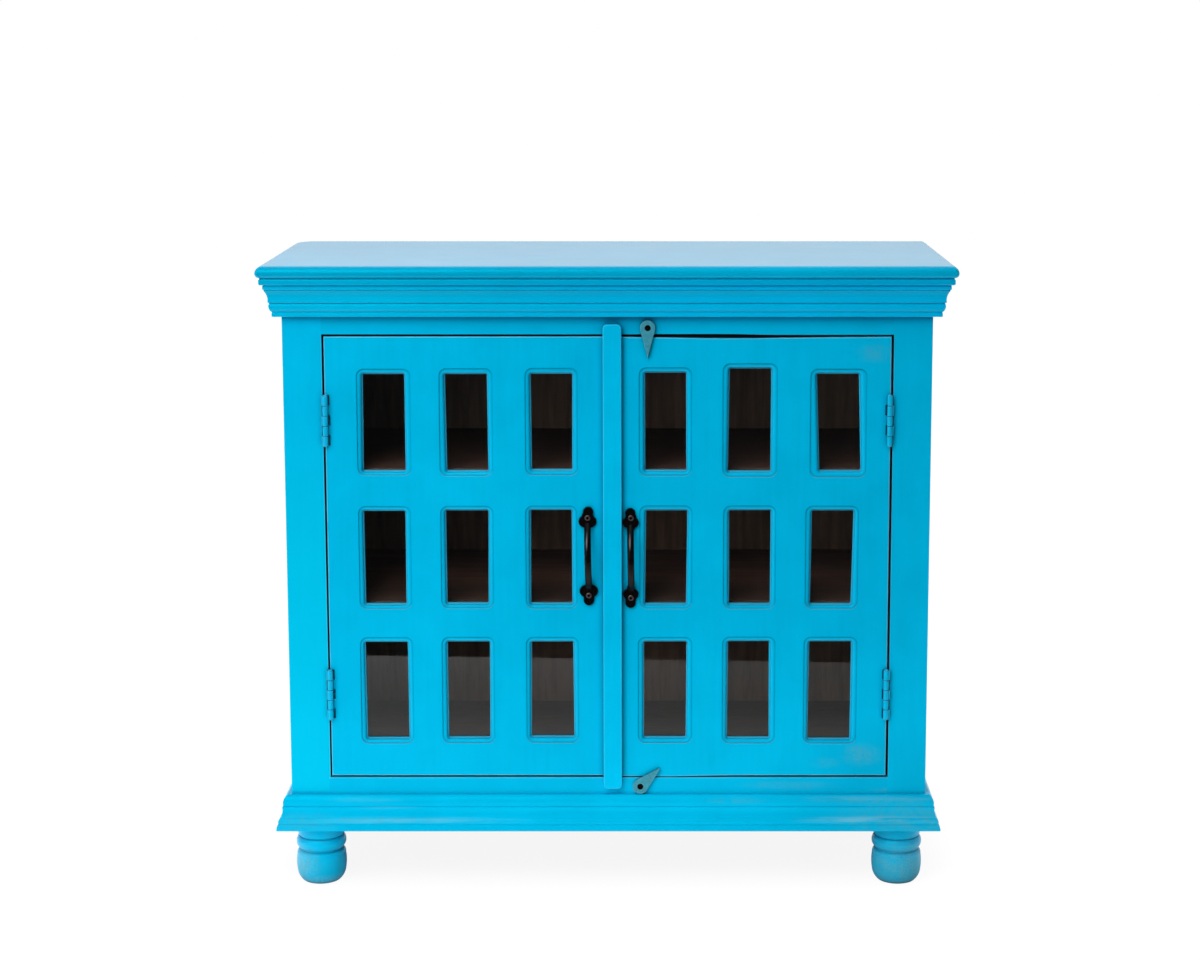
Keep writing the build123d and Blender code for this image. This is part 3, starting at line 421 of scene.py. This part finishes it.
# painted shade along the cornice members: low height, high height, how dark
CORNICE_SHADE_BANDS = [(0.9436, 0.9500, 0.19), (0.9240, 0.9340, 0.12), (0.9300, 0.9350, 0.12), (0.9125, 0.9150, 0.34), (0.8998, 0.9030, 0.22)]
BASE_PALE = [((-0.37, FACE - 0.012, 0.140), (0.08, 0.03, 0.006), 0.06), ((-0.34, FACE - 0.016, 0.128), (0.07, 0.03, 0.004), 0.05),
             ((0.40, FACE - 0.012, 0.142), (0.16, 0.03, 0.005), 0.10), ((-0.30, FACE - 0.02, 0.109), (0.22, 0.03, 0.007), 0.16),
             ((0.42, FACE - 0.02, 0.110), (0.16, 0.03, 0.007), 0.34)]
RAIL_WORN = [((0.28, FACE, 0.160), (0.10, 0.02, 0.010), 0.45), ((0.44, FACE, 0.152), (0.05, 0.02, 0.006), 0.5)]
FOOT_WORN = [((0.472, FACE + 0.012, 0.020), (0.150, 0.15, 0.075), 1.0), ((-0.470, FACE, 0.036), (0.040, 0.06, 0.040), 0.80)]
FOOT_PALE = [((-0.484, FACE - 0.010, 0.026), (0.040, 0.06, 0.045), 0.30), ((0.47, FACE, 0.030), (0.06, 0.08, 0.06), 0.16),
             ((-0.46, FACE, 0.004), (0.08, 0.08, 0.018), 0.30)]

# places made darker: centre, radii, strength
DOOR_DIM = [((0.425, FACE, 0.170), (0.190, 0.05, 0.140), 0.22)]
STILE_DIM = [((0.470, FACE, 0.140), (0.120, 0.05, 0.130), 0.24), ((0.470, FACE, 0.895), (0.120, 0.05, 0.070), 0.16)]

M = {
    "cornice": paint("PaintCornice", "X", lighter=bluer_right, lighter_to=(0.0, 0.478, 0.92), gloom=0.22, near=0.006, black=0.06, painted_shade_bands=CORNICE_SHADE_BANDS, brush=0.03, streaks=0.10, mottle=0.06, rays=16),
    "upright": paint("PaintUpright", "Z", lines=at_stile_edge, lighter=stiles_painted_light, gain=1.025, less_shade=at_base_joint, dim=STILE_DIM),
    "deep": paint("PaintDeep", "Y", all_over=0.12, gloom=0.35, near=0.006, black=0.3),
    "cornice_side": paint("PaintCorniceSide", "Y", gloom=0.22, near=0.006, black=0.06, painted_shade_bands=CORNICE_SHADE_BANDS, brush=0.03, streaks=0.10, mottle=0.06, rays=16),
    "top": paint("PaintTop", "X", rough=0.24, red=0.075, gain=0.94, brush=0.015, streaks=0.05, mottle=0.08, near=0.009, gloom=0.60, rays=16),
    "door": paint("PaintDoor", "Z", worn=DOOR_WORN, lines=at_door_edge, ledge=0.45, gain=1.035, less_shade=in_door_recesses, dim=DOOR_DIM),
    # wide painted shade under the cornice, by ambient occlusion
    "rail_high": paint("PaintRailHigh", "X", near=0.026, gloom=0.70, gain=0.99),
    "rail_low": paint("PaintRailLow", "X", worn=RAIL_WORN, lines=at_rail_edge, near=0.004, gloom=0.08, gain=1.02, duller=0.20, less_shade=at_base_joint, lighter=painted_light_at_base),
    "base": paint("PaintBase", "X", worn=BASE_WORN, pale=BASE_PALE, gloom=0.22, near=0.005, black=0.1, gain=1.03, brush=0.04, duller=0.18, mottle=0.06, rays=12),
    "foot": paint("PaintFoot", "Z", worn=FOOT_WORN, pale=FOOT_PALE, all_over=0.15, near=0.007, gloom=0.60, black=0.3, gain=1.08, speckled=True, duller=0.28),
    "strip": paint("PaintStrip", "Z", lines=everywhere(0.30), gain=1.12),
    "wood_across": plain_wood("WoodAcross", (0.024, 0.010, 0.006), (0.066, 0.028, 0.018), "X"),
    "wood_painted_light": plain_wood("WoodPaintedLight", (0.019, 0.009, 0.0055), (0.050, 0.024, 0.016), "X", painted_light_at_back=(-0.10, 0.05, 6.0)),
    "wood_upright": plain_wood("WoodUpright", (0.172, 0.088, 0.052), (0.312, 0.170, 0.105), "Z"),
    "hinge": paint("PaintedHinge", "Z", lines=everywhere(0.12), rough=0.32, all_over=0.12, near=0.006, gloom=0.9),
    "iron": iron("BlackIron"),
    "black_screw": screw_steel("BlackScrew", (0.13, 0.105, 0.11), 0.34, pits=(
        (-0.0311, 0.5833, 0.0024), (-0.0293, 0.4623, 0.0024), (0.0351, 0.5832, 0.0024), (0.0351, 0.4586, 0.0024))),
    "pivot_screw": screw_steel("PivotScrew", (0.010, 0.008, 0.007), 0.5),
    "steel_screw": screw_steel("SteelScrew", (0.46, 0.45, 0.43), 0.35),
    "button": button_paint("WornButton"),
    "glass": window_glass("WindowGlass"),
}

LOOK = {
    "top_board": "top", "cornice_front": "cornice", "cornice_left": "cornice_side", "cornice_right": "cornice_side",
    "stile_left": "upright", "stile_right": "upright", "rail_top": "rail_high", "rail_bottom": "rail_low",
    "side_left": "upright", "side_right": "upright", "back_panel": "wood_upright",
    "bottom_board": "wood_across", "shelf_upper": "wood_across", "shelf_lower": "wood_painted_light",
    "top_stop_rail": "wood_across",
    "base_front": "base", "base_left": "deep", "base_right": "deep",
    "hinge_pins": "hinge", "hinge_frame_screws": "steel_screw", "button_screws": "pivot_screw",
    "centre_strip": "strip", "top_turn_button": "button", "bottom_turn_button": "button",
}
for n in NODES:
    if n.startswith(("cleat_", "block_")) or "glazing_beads" in n:
        LOOK[n] = "wood_across"
    elif n.startswith("foot_"):
        LOOK[n] = "foot"
    elif n.startswith("hinge_frame_leaf") or "_door_leaf_" in n:
        LOOK[n] = "hinge"
    elif n.endswith("door_panel"):
        LOOK[n] = "door"
    elif n.endswith("door_glass"):
        LOOK[n] = "glass"
    elif n.endswith("hinge_screws"):
        LOOK[n] = "steel_screw"
    elif n.endswith("_handle_screws"):
        LOOK[n] = "black_screw"
    elif n.endswith("_handle"):
        LOOK[n] = "iron"
for n, look in LOOK.items():
    for s in NODES[n].material_slots:
        s.material = M[look]
for n in ("left_door_glass", "right_door_glass"):
    NODES[n].visible_shadow = False        # daylight passes the panes

# ------------------------------------------------------------------ floor, light and camera
FLOOR_NEAR = 1.55
floor_mesh = bpy.data.meshes.new("floor")
bm = bmesh.new()
corners = [(-7.0, -1.91, 0.0), (7.0, -1.12, 0.0), (7.0, 7.0, 0.0), (-7.0, 7.0, 0.0)]
bm.faces.new([bm.verts.new(c) for c in corners])
bmesh.ops.subdivide_edges(bm, edges=bm.edges[:], cuts=6, use_grid_fill=True)
bm.to_mesh(floor_mesh)
bm.free()
floor = bpy.data.objects.new("floor", floor_mesh)
scene.collection.objects.link(floor)

fm = Mat("PaleFloor")
fm.tree.nodes.remove(fm.shader)
path = fm.node("ShaderNodeLightPath")
fx, fy = fm.part("X"), fm.part("Y")
wide = fm.math("ABSOLUTE", fx)
# the floor as seen: white, with a painted shadow that is a little greyer under the cabinet
under_x = fm.span(wide, 0.43, 0.60, 1.0, 0.0, smooth=True)
under_y = fm.span(fy, -0.27, -0.08, 0.0, 1.0, smooth=True)
shade = fm.math("MULTIPLY", under_x, fm.math("MULTIPLY", under_y, fm.span(fy, 0.30, 0.60, 1.0, 0.0, smooth=True)))
seen_glow = fm.node("ShaderNodeEmission")
seen_glow.inputs["Color"].default_value = (1.0, 0.993, 0.998, 1.0)
fm.join(fm.span(shade, 0.0, 1.0, 0.985, 0.905), seen_glow.inputs["Strength"])
seen_body = fm.node("ShaderNodeBsdfDiffuse")
seen_body.inputs["Color"].default_value = (0.07, 0.07, 0.07, 1.0)
seen = fm.node("ShaderNodeAddShader")
fm.join(seen_glow.outputs[0], seen.inputs[0])
fm.join(seen_body.outputs[0], seen.inputs[1])
# the floor as it lights the cabinet and shows in the glass
lit_glow = fm.node("ShaderNodeEmission")
under = fm.span(fy, -0.38, -0.16, 1.0, 0.08)
beside = fm.span(wide, 0.45, 0.62, 0.0, 1.0)
behind = fm.span(fy, 0.20, 0.34, 0.0, 1.0)
openness = fm.math("MAXIMUM", fm.math("MAXIMUM", under, beside), behind)
across = fm.span(fx, -0.6, 1.1, 1.05, 0.68)
near_glow = fm.math("MULTIPLY", across, FLOOR_NEAR)
far_glow = fm.math("MULTIPLY", fm.span(fx, -0.55, 0.55, 0.50, 0.18), fm.span(fy, -1.52, -1.18, 1.30, 0.82))   # shows in the lowest windows
nearness = fm.span(fy, -1.12, -0.50)
lit_strength = fm.math("ADD", fm.math("MULTIPLY", near_glow, nearness), fm.math("MULTIPLY", far_glow, fm.math("SUBTRACT", 1.0, nearness)))
lit_strength = fm.math("MULTIPLY", lit_strength, openness)
fm.join(lit_strength, lit_glow.inputs["Strength"])
lit_body = fm.node("ShaderNodeBsdfDiffuse")
lit_body.inputs["Color"].default_value = (0.25, 0.25, 0.25, 1.0)
lit = fm.node("ShaderNodeAddShader")
fm.join(lit_glow.outputs[0], lit.inputs[0])
fm.join(lit_body.outputs[0], lit.inputs[1])
both = fm.node("ShaderNodeMixShader")
fm.join(path.outputs["Is Camera Ray"], both.inputs[0])
fm.join(lit.outputs[0], both.inputs[1])
fm.join(seen.outputs[0], both.inputs[2])
fm.join(both.outputs[0], fm.out.inputs[0])
floor_mesh.materials.append(fm.mat)

world = bpy.data.worlds.new("Studio")
scene.world = world
world.use_nodes = True
wt = world.node_tree
wt.nodes.clear()
w_out = wt.nodes.new("ShaderNodeOutputWorld")
w_mix = wt.nodes.new("ShaderNodeMixShader")
w_path = wt.nodes.new("ShaderNodeLightPath")
w_seen = wt.nodes.new("ShaderNodeBackground")
w_seen.inputs["Strength"].default_value = 1.0
w_seen.inputs["Color"].default_value = (1.0, 1.0, 1.0, 1.0)
w_lit = wt.nodes.new("ShaderNodeBackground")
w_dir = wt.nodes.new("ShaderNodeTexCoord")
w_sep = wt.nodes.new("ShaderNodeSeparateXYZ")
w_span = wt.nodes.new("ShaderNodeMapRange")
w_span.inputs["From Min"].default_value = -0.10
w_span.inputs["From Max"].default_value = 0.15
w_span.inputs["To Min"].default_value = 0.04
w_span.inputs["To Max"].default_value = 1.18
wt.links.new(w_dir.outputs["Generated"], w_sep.inputs[0])
wt.links.new(w_sep.outputs["Y"], w_span.inputs["Value"])
wt.links.new(w_span.outputs["Result"], w_lit.inputs["Strength"])
wt.links.new(w_path.outputs["Is Camera Ray"], w_mix.inputs[0])
wt.links.new(w_lit.outputs[0], w_mix.inputs[1])
wt.links.new(w_seen.outputs[0], w_mix.inputs[2])
wt.links.new(w_mix.outputs[0], w_out.inputs[0])


def area(name, at, aim, size, power, colour=(1, 1, 1), size_y=None):
    data = bpy.data.lights.new(name, "AREA")
    data.energy = power
    data.color = colour
    data.size = size
    if size_y:
        data.shape = "RECTANGLE"
        data.size_y = size_y
    lamp = bpy.data.objects.new(name, data)
    lamp.location = at
    lamp.rotation_euler = (Vector(aim) - Vector(at)).to_track_quat("-Z", "Y").to_euler()
    scene.collection.objects.link(lamp)
    return lamp


area("key_left", (-2.7, -2.9, 1.55), (0.0, -0.1, 0.45), 3.0, 36.0, (1.0, 1.0, 0.98))
area("key_high", (-1.4, -3.0, 3.0), (0.0, -0.1, 0.5), 2.4, 90.0)
area("overhead", (0.0, -1.4, 3.2), (0.0, -0.1, 0.6), 2.2, 19.0)

camera_data = bpy.data.cameras.new("camera")
camera_data.sensor_width = 36.0
camera_data.lens = 72.47
camera_data.shift_x = -0.04064
camera_data.shift_y = -0.08557
camera_data.clip_start, camera_data.clip_end = 0.05, 60.0
camera = bpy.data.objects.new("camera", camera_data)
camera.location = (0.06243, -3.80299, 1.32645)
camera.rotation_euler = (math.pi / 2 - 0.14464, 0.0, 0.0)
scene.collection.objects.link(camera)
scene.camera = camera
